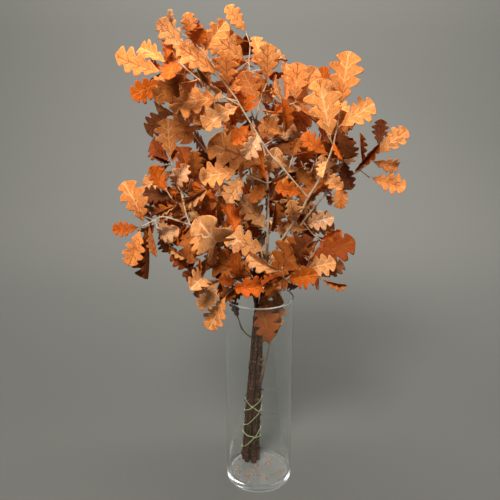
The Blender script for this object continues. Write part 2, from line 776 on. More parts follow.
# %% Tests of clearance
SHAPE_SEED = 5
CHANCES = 6
BACK_CHANCES = 10
TRIES = [(0, 0, 1.0)] + [
    (depth, roll, share)
    for share in (1.0, 0.93, 0.85)
    for roll in (0, 22, -22, 45, -45)
    for depth in (12, -12, 26, -26, 42, -42, 60, -60)
]


def is_clear(leaf, space, name):
    """Say whether a leaf is clear of the other branches and of its own branch's wood and blades."""
    half = BLADE_THICKNESS / 2 + CLEARANCE
    whole = thickened(*leaf.coarse(), half)
    others = [other for other in space.trees if other not in (name, name + "_blades")]
    if space.hits(*whole, others):
        return False
    blade = thickened(*leaf.coarse(False), half)
    return not space.hits(*blade, (name, name + "_blades"))


def settle(leaf, space, name):
    """Keep the room that a placed leaf takes."""
    half = BLADE_THICKNESS / 2 + CLEARANCE
    space.add(name + "_blades", *thickened(*leaf.coarse(), half))


def place_leaf(name, wood, space, spec, chance):
    """Pose one leaf of the list, on a twiglet of its own where its base stands off the wood."""
    across, down, tip_across, tip_down, behind, roll, form, tone = spec
    root, _, distance = wood.nearest(across, down)
    behind *= LEAN
    depth = root.y / MM
    twiglet = None
    if distance > REACH:
        for shift in TWIGLET_SHIFTS:
            end = seen(across, down, depth + behind * TWIGLET_LEAN + shift)
            rise = UP * TWIGLET_RISE * (end - root).length
            points = [root, root.lerp(end, 0.5) + rise, end]
            radii = [STEM_TIP_RADIUS, STEM_TIP_RADIUS, TIP_RADIUS]
            shell = rod_shell(points, radii, CLEARANCE)
            others = [other for other in space.trees if other not in (name, name + "_blades")]
            if not space.hits(*shell, others):
                twiglet = (points, radii)
                break
        if twiglet is None:
            return None
        root = twiglet[0][-1]
        depth = root.y / MM
    for more, turn, share in TRIES:
        tip = seen(tip_across, tip_down, depth + behind + more)
        tip = root.lerp(tip, share)
        leaf = Leaf(root, tip, roll + turn, form, tone, chance)
        if is_clear(leaf, space, name):
            if twiglet is not None:
                wood.rods.append(twiglet)
                space.add(name, *rod_shell(*twiglet, CLEARANCE))
            settle(leaf, space, name)
            return leaf
    return None

# %% Leaves that fan out behind
BACK_PLACES = ((224, 222), (308, 230), (276, 180), (236, 138), (297, 152), (206, 172))
BACK_COUNT = 2
BACK_LENGTH = 92 * MM
BACK_SEED = 11
BACK_TONES = ("light", "tan", "brown", "vivid", "dark")
BACK_DEPTH = 150
BACK_ATTEMPTS = 24
BACK_TURN = 0.13
BACK_SHIFT = 0.3
BACK_OUTWARD = (0.35, 1.25)
BACK_FLAT = 0.8
BACK_LENGTHS = (0.8, 1.15)
BACK_SHORTER = 0.85
BACK_ROLL = 60


def place_back_leaf(wood, space, place, index, chance):
    """Pose one of the leaves that fan out behind the bunch."""
    root, _, _ = wood.nearest(*place, BACK_DEPTH)
    for attempt in range(BACK_ATTEMPTS):
        clock = 2 * math.pi * (index / BACK_COUNT + chance[6] * BACK_SHIFT + attempt * BACK_TURN)
        outward = Vector((math.cos(clock), spread(BACK_OUTWARD, chance[7]), math.sin(clock) * BACK_FLAT))
        length = BACK_LENGTH * spread(BACK_LENGTHS, chance[8])
        if attempt >= BACK_ATTEMPTS / 2:
            length *= BACK_SHORTER
        tip = root + outward.normalized() * length
        form = ("open", "cupped")[index]
        tone = BACK_TONES[int(chance[9] * len(BACK_TONES))]
        leaf = Leaf(root, tip, 180 + BACK_ROLL * (chance[5] - 0.5), form, tone, chance)
        if is_clear(leaf, space, "branch_7"):
            settle(leaf, space, "branch_7")
            return leaf
    return None

# %% What is already there
space = Space()
glass = [(radius, height) for radius, height in vase_profile() if radius > 0]
ring = []
for radius, height in glass:
    for step in range(VASE_STEPS):
        angle = 2 * math.pi * step / VASE_STEPS
        ring.append(Vector((radius * math.cos(angle), radius * math.sin(angle), height)))
walls = []
for row in range(len(glass)):
    for step in range(VASE_STEPS):
        a = row * VASE_STEPS + step
        b = row * VASE_STEPS + (step + 1) % VASE_STEPS
        above = ((row + 1) % len(glass)) * VASE_STEPS - row * VASE_STEPS
        walls += [(a, b, b + above), (a, b + above, a + above)]
space.add("vase", ring, walls)
for name, wood in woods.items():
    for points, radii in wood.rods:
        space.add(name, *rod_shell(points[1:], radii[1:], CLEARANCE))
print("solids in the way:", len(space.trees))

# %% Leaves in their places
leaves = {name: [] for name in BRANCHES}
rng = random.Random(SHAPE_SEED)
for name, plan in BRANCHES.items():
    for spec in plan["leaves"]:
        chance = [rng.random() for _ in range(CHANCES)]
        leaf = place_leaf(name, woods[name], space, spec, chance)
        if leaf is not None:
            leaves[name].append(leaf)
rng = random.Random(BACK_SEED)
for across, down in BACK_PLACES:
    for index in range(BACK_COUNT):
        chance = [rng.random() for _ in range(BACK_CHANCES)]
        leaf = place_back_leaf(woods["branch_7"], space, (across, down), index, chance)
        if leaf is not None:
            leaves["branch_7"].append(leaf)
print("large leaves:", {name: len(items) for name, items in leaves.items()})

# %% [markdown]
# ## Small leaves that fill the crown
# A cut oak branch carries many more leaves than the eye can follow, and the inside of the crown is
# nearly closed by them. Those small inner leaves grow by a rule: pick a place on the wood above the
# rim, grow a leaf away from it in a random direction, and keep it only if it is clear of everything
# and stays inside the crown's outline, which is given as a few places seen from the front.

# %% Outline of the crown
CROWN = ((150, 95), (150, 165), (140, 190), (138, 225), (160, 255), (192, 285), (252, 290),
         (320, 285), (344, 262), (338, 236), (326, 214), (344, 186), (352, 150), (366, 118), (350, 84),
         (322, 66), (285, 46), (262, 38), (228, 18), (190, 22), (160, 34), (118, 55))
FILL_TRIES = 20000
FILL_COUNT = 340
FILL_LENGTH = (42 * MM, 90 * MM)
LOW_TONES = ("brown", "tan", "dark", "vivid", "tan", "rust", "brown", "rust")
HIGH_TONES = ("light", "tan", "brown", "light", "tan", "vivid", "light", "brown")
HIGH_ABOVE = 135
FILL_SEED = 23
FILL_ROLL = 60
FILL_RISE = (0.2, 0.8)
FILL_FORMS = ("open", "cupped", "cupped", "folded", "curled")
LEAST_HEIGHT = VASE_HEIGHT + 20 * MM
EDGE_ROOM = 4 * MM


def in_crown(point):
    """Say whether a point shows inside the crown's outline and stays in the frame's box."""
    low, high = cad_box
    if not all(low[axis] + EDGE_ROOM < point[axis] < high[axis] - EDGE_ROOM for axis in range(3)):
        return False
    x, y = shown(point)
    inside = False
    for (x1, y1), (x2, y2) in zip(CROWN, CROWN[1:] + CROWN[:1]):
        if (y1 > y) != (y2 > y) and x < (x2 - x1) * (y - y1) / (y2 - y1) + x1:
            inside = not inside
    return inside


# %% Limbs that stay in view
LIMB_ROOM = 6
# Below this height the limbs are behind leaves in the photograph
LIMBS_IN_VIEW = 570 * MM
LIMB_STEP = 6 * MM
LIMB_SHARES = (0.3, 0.5, 0.7, 0.9)
limb_spots = []
for name, wood in woods.items():
    for points, _ in wood.rods[:1 + len(BRANCHES[name]["forks"])]:
        for start, end in zip(points, points[1:]):
            parts = max(1, round((end - start).length / LIMB_STEP))
            limb_spots += [start.lerp(end, part / parts) for part in range(parts)]
limb_spots = [(*shown(spot), (spot - EYE).length) for spot in limb_spots if spot.z > LIMBS_IN_VIEW]


def hides_limb(root, tip):
    """Say whether a leaf would lie in front of one of the main limbs."""
    for share in LIMB_SHARES:
        point = root.lerp(tip, share)
        x, y = shown(point)
        away = (point - EYE).length
        for limb_x, limb_y, limb_away in limb_spots:
            if away < limb_away and math.hypot(limb_x - x, limb_y - y) < LIMB_ROOM:
                return True
    return False


print("places along the limbs:", len(limb_spots))

# %% Large leaves that stay in view
LEAF_SHARES = (0.4, 0.65, 0.9)
front_corners = []
front_faces = []
for items in leaves.values():
    for leaf in items:
        corners, faces = leaf.coarse()
        front_faces += [tuple(index + len(front_corners) for index in face) for face in faces]
        front_corners += corners
front_tree = BVHTree.FromPolygons(front_corners, front_faces)


def hides_leaf(root, tip):
    """Say whether a leaf would lie in front of one of the large leaves."""
    for share in LEAF_SHARES:
        point = root.lerp(tip, share)
        if front_tree.ray_cast(point, (point - EYE).normalized())[0] is not None:
            return True
    return False


# %% Grow the small leaves
def fill_crown(rng):
    """Grow small leaves on the wood wherever there is room, and return how many there are."""
    grown = 0
    names = list(BRANCHES)
    for _ in range(FILL_TRIES):
        name = rng.choice(names)
        points, radii = rng.choice(woods[name].rods)
        spot = rng.randrange(len(points) - 1)
        root = points[spot].lerp(points[spot + 1], rng.random())
        chance = [rng.random() for _ in range(CHANCES)]
        way = Vector((rng.gauss(0, 1), rng.gauss(0, 1), rng.gauss(*FILL_RISE))).normalized()
        length = FILL_LENGTH[0] + (FILL_LENGTH[1] - FILL_LENGTH[0]) * rng.random()
        roll = rng.uniform(-FILL_ROLL, FILL_ROLL)
        form = rng.choice(FILL_FORMS)
        tip = root + way * length
        tone = rng.choice(HIGH_TONES if shown(tip)[1] < HIGH_ABOVE else LOW_TONES)
        if root.z < LEAST_HEIGHT or not in_crown(tip) or not in_crown(root):
            continue
        if hides_limb(root, tip) or hides_leaf(root, tip):
            continue
        leaf = Leaf(root, tip, roll, form, tone, chance)
        if is_clear(leaf, space, name):
            settle(leaf, space, name)
            leaves[name].append(leaf)
            grown += 1
        if grown == FILL_COUNT:
            break
    return grown


print("small leaves grown:", fill_crown(random.Random(FILL_SEED)))
print("all leaves:", sum(len(items) for items in leaves.values()))

# %% [markdown]
# ## Shared shader groups
# Two effects are used by more than one material, so each is a node group with named sockets. The first
# breaks an even colour into blotches and flecks, which every dry plant surface has. The second says
# where a leaf's veins run: its midrib lies where the across coordinate is zero, and the side veins
# where the along coordinate passes a whole number, because the leaf's mesh counts one for each lobe.
# A side vein leaves the midrib some way before its lobe, so the count runs ahead near the midrib.

# %% Helpers for node trees
def new_group(name, inputs, outputs):
    """Return a node group with the given sockets, and its input and output nodes."""
    group = bpy.data.node_groups.new(name, "ShaderNodeTree")
    for label, kind, value in inputs:
        socket = group.interface.new_socket(label, in_out="INPUT", socket_type=kind)
        if value is not None:
            socket.default_value = value
    for label, kind in outputs:
        group.interface.new_socket(label, in_out="OUTPUT", socket_type=kind)
    return group, group.nodes.new("NodeGroupInput"), group.nodes.new("NodeGroupOutput")


def add_math(tree, operation, first, second=None, third=None, clamp=False):
    """Add a math node, linking sockets and writing plain numbers, and return its output."""
    node = tree.nodes.new("ShaderNodeMath")
    node.operation = operation
    node.use_clamp = clamp
    for socket, value in zip(node.inputs, (first, second, third)):
        if isinstance(value, bpy.types.NodeSocket):
            tree.links.new(value, socket)
        elif value is not None:
            socket.default_value = value
    return node.outputs[0]


def add_mix(tree, share, first, second, blend="MIX"):
    """Add a colour mix and return its output."""
    node = tree.nodes.new("ShaderNodeMix")
    node.data_type = "RGBA"
    node.blend_type = blend
    for socket, value in zip((node.inputs[0], node.inputs[6], node.inputs[7]), (share, first, second)):
        if isinstance(value, bpy.types.NodeSocket):
            tree.links.new(value, socket)
        else:
            socket.default_value = value
    return node.outputs[2]


def add_noise(tree, vector, scale, detail, roughness=0.55):
    """Add a noise texture and return its factor."""
    node = tree.nodes.new("ShaderNodeTexNoise")
    node.inputs["Scale"].default_value = scale
    node.inputs["Detail"].default_value = detail
    node.inputs["Roughness"].default_value = roughness
    tree.links.new(vector, node.inputs["Vector"])
    return node.outputs["Fac"]


def add_range(tree, value, low, high, to_low=0.0, to_high=1.0):
    """Map one range to another with smooth ends and return the result."""
    node = tree.nodes.new("ShaderNodeMapRange")
    node.interpolation_type = "SMOOTHSTEP"
    for label, number in zip(("From Min", "From Max", "To Min", "To Max"), (low, high, to_low, to_high)):
        node.inputs[label].default_value = number
    tree.links.new(value, node.inputs["Value"])
    return node.outputs["Result"]


def add_gain(tree, colour, gain):
    """Multiply a colour by a gain for each of its parts and return the result."""
    return add_mix(tree, 1, colour, (*gain, 1), "MULTIPLY")


# %% Blotches and flecks
blotches, group_in, group_out = new_group(
    "blotches",
    [("Vector", "NodeSocketVector", None), ("Color", "NodeSocketColor", (0.5, 0.3, 0.1, 1)),
     ("Dark", "NodeSocketColor", (0.1, 0.04, 0.02, 1)), ("Pale", "NodeSocketColor", (0.8, 0.6, 0.4, 1)),
     ("Strength", "NodeSocketFloat", 0.6)],
    [("Color", "NodeSocketColor"), ("Height", "NodeSocketFloat")])
broad = add_noise(blotches, group_in.outputs["Vector"], 38, 4)
fine = add_noise(blotches, group_in.outputs["Vector"], 150, 6, 0.8)
speck = add_noise(blotches, group_in.outputs["Vector"], 560, 2, 0.6)
dark_share = add_math(blotches, "MULTIPLY", add_range(blotches, broad, 0.5, 0.66),
                      group_in.outputs["Strength"])
pale_share = add_math(blotches, "MULTIPLY", add_range(blotches, fine, 0.48, 0.62),
                      group_in.outputs["Strength"])
fleck_share = add_math(blotches, "MULTIPLY", add_range(blotches, speck, 0.54, 0.68),
                       group_in.outputs["Strength"])
shaded = add_mix(blotches, dark_share, group_in.outputs["Color"], group_in.outputs["Dark"])
mottled = add_mix(blotches, pale_share, shaded, group_in.outputs["Pale"])
flecked = add_mix(blotches, fleck_share, mottled, group_in.outputs["Dark"])
blotches.links.new(flecked, group_out.inputs["Color"])
blotches.links.new(fine, group_out.inputs["Height"])
print("group:", blotches.name)

# %% Veins of a leaf
VEIN_LEAD = 0.2
veins, group_in, group_out = new_group(
    "leaf_veins",
    [("Lobe", "NodeSocketFloat", 0.0), ("Across", "NodeSocketFloat", 0.0),
     ("Vector", "NodeSocketVector", None)],
    [("Ribs", "NodeSocketFloat"), ("Net", "NodeSocketFloat"), ("Margin", "NodeSocketFloat")])
out = add_math(veins, "ABSOLUTE", group_in.outputs["Across"])
midrib = add_range(veins, out, 0.02, 0.08, 1, 0)
wobble = add_noise(veins, group_in.outputs["Vector"], 60, 2)
inward = add_math(veins, "SUBTRACT", 1, out)
lead = add_math(veins, "MULTIPLY_ADD", inward, VEIN_LEAD / LOBE_PERIOD, group_in.outputs["Lobe"])
lobe = add_math(veins, "MULTIPLY_ADD", wobble, 0.16, lead)
near = add_math(veins, "PINGPONG", lobe, 0.5)
side = add_range(veins, near, 0.02, 0.07, 1, 0)
side = add_math(veins, "MULTIPLY", side, add_range(veins, out, 0.75, 1, 1, 0))
ribs = add_math(veins, "MAXIMUM", midrib, side)
cells = veins.nodes.new("ShaderNodeTexVoronoi")
cells.feature = "DISTANCE_TO_EDGE"
cells.inputs["Scale"].default_value = 420
veins.links.new(group_in.outputs["Vector"], cells.inputs["Vector"])
net = add_range(veins, cells.outputs["Distance"], 0.02, 0.16, 1, 0)
veins.links.new(ribs, group_out.inputs["Ribs"])
veins.links.new(net, group_out.inputs["Net"])
veins.links.new(add_range(veins, out, 0.8, 1), group_out.inputs["Margin"])
print("group:", veins.name)

# %% [markdown]
# ## Material of the leaves
# Every leaf has its own colour, kept with its mesh, so one material serves the whole bunch. Dry oak is
# paler and greyer on its underside, and its margin dries first and goes brown. The veins are paler than
# the blade on some leaves and darker on others, so a slow noise picks which. All these effects multiply
# the leaf's own colour, which keeps a dark leaf warm where mixing in a pale colour would turn it grey.
# The surface is nearly matt, with a faint wax sheen on the upper side.

# %% Colours of the leaves
def linear(red, green, blue):
    """Return a colour given as 0 to 255 in the linear values that shaders take."""
    return tuple(((part / 255 + 0.055) / 1.055) ** 2.4 if part > 10 else part / 3294.6
                 for part in (red, green, blue))


TONES = {
    "light": linear(228, 127, 52),
    "vivid": linear(190, 80, 12),
    "tan": linear(206, 126, 60),
    "brown": linear(160, 76, 19),
    "dark": linear(102, 45, 10),
    "pale": linear(208, 136, 76),
    "rust": linear(148, 58, 8),
}
BLEACHED = (1.14, 1.52, 2.3)
STAINED = (0.46, 0.34, 0.28)
WITHERED = (0.55, 0.42, 0.4)
WAXY = (0.95, 1.05, 1.3)
VEIN_LIGHT = (1.3, 2.1, 4.0)
VEIN_DULL = (0.4, 0.32, 0.36)
MOTTLED = 0.9
MARGIN_SHARE = 0.3
NET_SHARE = 0.4
RIB_SHARE = 0.95
VEIN_CHOICE_SCALE = 16
print("tones:", ", ".join(TONES))

# %% Leaf material
leaf_material = bpy.data.materials.new("oak_leaf")
leaf_material.use_nodes = True
tree = leaf_material.node_tree
shader = tree.nodes["Principled BSDF"]
tone = tree.nodes.new("ShaderNodeAttribute")
tone.attribute_name = "tone"
coords = tree.nodes.new("ShaderNodeTexCoord")
along = tree.nodes.new("ShaderNodeUVMap")
along.uv_map = "lobes"
split = tree.nodes.new("ShaderNodeSeparateXYZ")
tree.links.new(along.outputs["UV"], split.inputs["Vector"])
mottle = tree.nodes.new("ShaderNodeGroup")
mottle.node_tree = blotches
mottle.inputs["Strength"].default_value = MOTTLED
tree.links.new(add_gain(tree, tone.outputs["Color"], BLEACHED), mottle.inputs["Pale"])
tree.links.new(add_gain(tree, tone.outputs["Color"], STAINED), mottle.inputs["Dark"])
tree.links.new(coords.outputs["Object"], mottle.inputs["Vector"])
tree.links.new(tone.outputs["Color"], mottle.inputs["Color"])
vein_map = tree.nodes.new("ShaderNodeGroup")
vein_map.node_tree = veins
tree.links.new(split.outputs["X"], vein_map.inputs["Lobe"])
across = add_math(tree, "MULTIPLY_ADD", split.outputs["Y"], 2, -1)
tree.links.new(across, vein_map.inputs["Across"])
tree.links.new(coords.outputs["Object"], vein_map.inputs["Vector"])
margin_share = add_math(tree, "MULTIPLY", vein_map.outputs["Margin"], MARGIN_SHARE)
withered = add_gain(tree, tone.outputs["Color"], WITHERED)
dried = add_mix(tree, margin_share, mottle.outputs["Color"], withered)
net_share = add_math(tree, "MULTIPLY", vein_map.outputs["Net"], NET_SHARE)
netted = add_mix(tree, net_share, dried, add_gain(tree, tone.outputs["Color"], BLEACHED))
each_leaf = add_noise(tree, coords.outputs["Object"], VEIN_CHOICE_SCALE, 0)
light_vein = add_gain(tree, tone.outputs["Color"], VEIN_LIGHT)
dull_vein = add_gain(tree, tone.outputs["Color"], VEIN_DULL)
vein_colour = add_mix(tree, add_range(tree, each_leaf, 0.47, 0.53), dull_vein, light_vein)
rib_share = add_math(tree, "MULTIPLY", vein_map.outputs["Ribs"], RIB_SHARE)
ribbed = add_mix(tree, rib_share, netted, vein_colour)
under = add_mix(tree, tone.outputs["Alpha"], ribbed, add_gain(tree, ribbed, WAXY))
tree.links.new(under, shader.inputs["Base Color"])
shader.inputs["Specular IOR Level"].default_value = 0.12
rough = add_range(tree, mottle.outputs["Height"], 0.3, 0.75, 0.56, 0.82)
tree.links.new(rough, shader.inputs["Roughness"])
height = add_math(tree, "ADD", add_math(tree, "MULTIPLY", vein_map.outputs["Ribs"], 0.6),
                  add_math(tree, "MULTIPLY", mottle.outputs["Height"], 0.5))
height = add_math(tree, "SUBTRACT", height, add_math(tree, "MULTIPLY", vein_map.outputs["Net"], 0.15))
bump = tree.nodes.new("ShaderNodeBump")
bump.inputs["Strength"].default_value = 0.55
bump.inputs["Distance"].default_value = 0.0006
tree.links.new(height, bump.inputs["Height"])
tree.links.new(bump.outputs["Normal"], shader.inputs["Normal"])
print("material:", leaf_material.name)

# %% [markdown]
# ## Material of the bark
# Oak bark changes along a branch: greyish dark brown and cracked on the thick stems, smooth beige-grey
# on the young twigs. The mesh keeps how thin the wood is, and the material blends from one to the
# other. The cracks run along the stem, so the texture is stretched that way by the tube's own map.

# %% Bark material
BARK_DARK = (*linear(54, 29, 13), 1)
BARK_CRACK = (*linear(12, 6, 3), 1)
BARK_LICHEN = (*linear(116, 76, 44), 1)
TWIG_PALE = (*linear(196, 168, 136), 1)
TWIG_SHADE = (*linear(128, 96, 70), 1)
BARK_THICK = 4.0 * MM
BARK_THIN = 2.9 * MM
bark_material = bpy.data.materials.new("oak_bark")
bark_material.use_nodes = True
tree = bark_material.node_tree
shader = tree.nodes["Principled BSDF"]
thin = tree.nodes.new("ShaderNodeAttribute")
thin.attribute_name = "tone"
coords = tree.nodes.new("ShaderNodeTexCoord")
lengthwise = tree.nodes.new("ShaderNodeUVMap")
lengthwise.uv_map = "lobes"
stretched = tree.nodes.new("ShaderNodeMapping")
stretched.inputs["Scale"].default_value = (1, 0.22, 1)
tree.links.new(lengthwise.outputs["UV"], stretched.inputs["Vector"])
cracks = add_noise(tree, stretched.outputs["Vector"], 9, 6, 0.62)
thick_bark = tree.nodes.new("ShaderNodeGroup")
thick_bark.node_tree = blotches
for label, value in (("Color", BARK_DARK), ("Dark", BARK_CRACK), ("Pale", BARK_LICHEN), ("Strength", 0.9)):
    thick_bark.inputs[label].default_value = value
tree.links.new(coords.outputs["Object"], thick_bark.inputs["Vector"])
twig_bark = tree.nodes.new("ShaderNodeGroup")
twig_bark.node_tree = blotches
for label, value in (("Color", TWIG_PALE), ("Dark", TWIG_SHADE), ("Pale", TWIG_PALE), ("Strength", 0.6)):
    twig_bark.inputs[label].default_value = value
tree.links.new(coords.outputs["Object"], twig_bark.inputs["Vector"])
crack_share = add_math(tree, "MULTIPLY", add_range(tree, cracks, 0.52, 0.6), 0.75)
cracked = add_mix(tree, crack_share, thick_bark.outputs["Color"], BARK_CRACK)
thinness = tree.nodes.new("ShaderNodeSeparateColor")
tree.links.new(thin.outputs["Color"], thinness.inputs["Color"])
tree.links.new(add_mix(tree, thinness.outputs["Red"], cracked, twig_bark.outputs["Color"]),
               shader.inputs["Base Color"])
shader.inputs["Roughness"].default_value = 0.82
shader.inputs["Specular IOR Level"].default_value = 0.12
bump = tree.nodes.new("ShaderNodeBump")
bump.inputs["Strength"].default_value = 0.8
bump.inputs["Distance"].default_value = 0.0008
tree.links.new(add_math(tree, "ADD", cracks, thick_bark.outputs["Height"]), bump.inputs["Height"])
tree.links.new(bump.outputs["Normal"], shader.inputs["Normal"])
print("material:", bark_material.name)

# %% [markdown]
# ## Materials of the glass and the twine
# Clear soda glass has hardly any colour until one looks along it. Light that only passes through it on
# the way to a leaf or the floor isn't bent, which keeps the shadow of the vase as pale as it is in
# life. A ray that has been bent many times in the thick foot goes straight on, because it would end
# black there, and a trace of matt white at the lip and the foot stands for their many small glints.
# Garden twine is a pale green yarn of two strands.

# %% Glass and twine materials
LAST_BEND = 5.5
LIP_GLINT = 0.24
FOOT_GLINT = 0.07
glass_material = bpy.data.materials.new("clear_glass")
glass_material.use_nodes = True
shader = glass_material.node_tree.nodes["Principled BSDF"]
shader.inputs["Base Color"].default_value = (0.97, 0.99, 0.98, 1)
shader.inputs["Roughness"].default_value = 0.0
shader.inputs["IOR"].default_value = 1.47
shader.inputs["Transmission Weight"].default_value = 1
tree = glass_material.node_tree
rays = tree.nodes.new("ShaderNodeLightPath")
clear = tree.nodes.new("ShaderNodeBsdfTransparent")
either = tree.nodes.new("ShaderNodeMixShader")
soft_ray = add_math(tree, "MAXIMUM", rays.outputs["Is Shadow Ray"], rays.outputs["Is Diffuse Ray"])
late_ray = add_math(tree, "GREATER_THAN", rays.outputs["Ray Depth"], LAST_BEND)
tree.links.new(add_math(tree, "MAXIMUM", soft_ray, late_ray), either.inputs["Fac"])
bright = tree.nodes.new("ShaderNodeBsdfDiffuse")
bright.inputs["Color"].default_value = (0.92, 0.95, 0.93, 1)
coords = tree.nodes.new("ShaderNodeTexCoord")
split = tree.nodes.new("ShaderNodeSeparateXYZ")
tree.links.new(coords.outputs["Object"], split.inputs["Vector"])
lip = add_range(tree, split.outputs["Z"], VASE_HEIGHT - WALL, VASE_HEIGHT - WALL / 2, 0, LIP_GLINT)
foot = add_range(tree, split.outputs["Z"], 0, FOOT_ROUND, FOOT_GLINT, 0)
edged = tree.nodes.new("ShaderNodeMixShader")
tree.links.new(add_math(tree, "MAXIMUM", lip, foot), edged.inputs["Fac"])
tree.links.new(shader.outputs["BSDF"], edged.inputs[1])
tree.links.new(bright.outputs["BSDF"], edged.inputs[2])
tree.links.new(edged.outputs["Shader"], either.inputs[1])
tree.links.new(clear.outputs["BSDF"], either.inputs[2])
tree.links.new(either.outputs["Shader"], tree.nodes["Material Output"].inputs["Surface"])

twine_material = bpy.data.materials.new("green_twine")
twine_material.use_nodes = True
tree = twine_material.node_tree
shader = tree.nodes["Principled BSDF"]
coords = tree.nodes.new("ShaderNodeTexCoord")
yarn = tree.nodes.new("ShaderNodeGroup")
yarn.node_tree = blotches
for label, value in (("Color", (*linear(178, 188, 130), 1)), ("Dark", (*linear(104, 112, 66), 1)),
                     ("Pale", (*linear(200, 206, 160), 1)), ("Strength", 0.7)):
    yarn.inputs[label].default_value = value
tree.links.new(coords.outputs["Object"], yarn.inputs["Vector"])
tree.links.new(yarn.outputs["Color"], shader.inputs["Base Color"])
shader.inputs["Roughness"].default_value = 0.9
bump = tree.nodes.new("ShaderNodeBump")
bump.inputs["Strength"].default_value = 0.6
bump.inputs["Distance"].default_value = 0.0003
tree.links.new(yarn.outputs["Height"], bump.inputs["Height"])
tree.links.new(bump.outputs["Normal"], shader.inputs["Normal"])
print("materials:", glass_material.name, twine_material.name)

# %% [markdown]
# ## Meshes with colours and maps
# All the leaves of a branch are one mesh, and so is all its wood. A small collector gathers corners,
# faces, a colour and a map coordinate for each corner, then writes one mesh at the end. The map counts
# lobes along a leaf and runs across it, which is what the vein shader reads.

# %% A collector of meshes
class Gather:
    """Corners, faces, colours and map places of one piece."""

    def __init__(self):
        self.corners = []
        self.faces = []
        self.tones = []
        self.maps = []

    def add(self, corners, faces, tones, maps):
        base = len(self.corners)
        self.corners.extend(corners)
        self.faces.extend(tuple(index + base for index in face) for face in faces)
        self.tones.extend(tones)
        self.maps.extend(maps)

    def build(self, name, material, node):
        """Write the mesh and say what it stands for."""
        mesh = bpy.data.meshes.new(name)
        mesh.from_pydata(self.corners, [], self.faces)
        mesh.polygons.foreach_set("use_smooth", [True] * len(mesh.polygons))
        colours = mesh.color_attributes.new("tone", "FLOAT_COLOR", "POINT")
        colours.data.foreach_set("color", [part for tone in self.tones for part in tone])
        layer = mesh.uv_layers.new(name="lobes")
        for loop in mesh.loops:
            layer.data[loop.index].uv = self.maps[loop.vertex_index]
        mesh.materials.append(material)
        piece = bpy.data.objects.new(name, mesh)
        bpy.context.scene.collection.objects.link(piece)
        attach(piece, "root")
        if node is not None:
            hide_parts(node)
        print(name, "has", sum(len(face) - 2 for face in self.faces), "triangles")
        return piece


# %% Round tubes
def tube(points, radii, sides, bark=0.0, cap=True):
    """Return corners, faces and map places of a round tube, with its surface roughened a little."""
    corners = []
    maps = []
    across = (points[1] - points[0]).orthogonal().normalized()
    travelled = 0
    for index, (point, radius) in enumerate(zip(points, radii)):
        way = (points[min(index + 1, len(points) - 1)] - points[max(index - 1, 0)]).normalized()
        across = (across - way * across.dot(way)).normalized()
        other = way.cross(across)
        travelled += (point - points[max(index - 1, 0)]).length
        for side in range(sides):
            angle = 2 * math.pi * side / sides
            out = across * math.cos(angle) + other * math.sin(angle)
            ridge = noise.noise((point * 0.25 + out * radius * 2.5) * 420) if bark else 0
            pit = noise.noise((point + out * radius) * 210) if bark else 0
            corners.append(point + out * (radius - bark * (abs(ridge) + max(0, pit))))
            maps.append((side / sides, travelled * 30))
    faces = []
    for ring in range(len(points) - 1):
        for side in range(sides):
            a = ring * sides + side
            b = ring * sides + (side + 1) % sides
            faces.append((a, b, b + sides, a + sides))
    if cap:
        faces.append(tuple(range(sides))[::-1])
        faces.append(tuple(range(len(corners) - sides, len(corners))))
    return corners, faces, maps


# %% [markdown]
# ## Leaves with real thickness, ribs and ruffles
# Each leaf is a thin closed blade of many rows, with its stalk, its midrib and its side veins as
# slender tubes that stand out of the blade. A little noise crumples it, as drying does. A real blade is
# only about a third of a millimetre thick, and the midrib three times that. A short leaf gets fewer
# rows and columns than a long one, so that each is as fine as it looks and no piece grows too heavy.

# %% One fine leaf
ROW_STEP = 2.5 * MM
MOST_ROWS = 44
FIRST_ROW = 0.01
LAST_ROW = 0.996
COLUMNS = (-1, -0.8, -0.5, -0.2, 0, 0.2, 0.5, 0.8, 1)
FEW_COLUMNS = (-1, -0.65, -0.25, 0, 0.25, 0.65, 1)
SHORT_LEAF = 78 * MM
LEAF_HALF = 0.17 * MM
RIB_RADIUS = 0.5 * MM
RIB_ROOT = 1.5
RIB_THINS = 1.2
RIB_END = 0.97
RIB_SIDES = 6
STALK_STEPS = (0.35, 0.7)
VEIN_RADIUS = 0.26 * MM
VEIN_THINS = 0.65
VEIN_REACH = 0.8
VEIN_SIDES = 3
FIRST_VEIN = FIRST_LOBE + 0.02
LAST_VEIN = 0.92
RIB_GAIN = (1.0, 1.3, 1.9)
# The count of lobes starts here, which keeps it above zero, and ribs take a place between two veins
LOBE_COUNT_START = 10
PLAIN_PLACE = (10.5, 0.8)
CRUMPLE = 1.1 * MM
CRUMPLE_SCALE = 55
IRREGULAR = 0.22
# How fast the unevenness of the edge changes along a leaf, and how far apart sides and leaves lie in it
EDGE_PLACE = (9, 5, 7)
VEIN_STEPS = 5
RIB_STEPS = 16
TONE_JITTER = 0.16
WARM_JITTER = 0.07


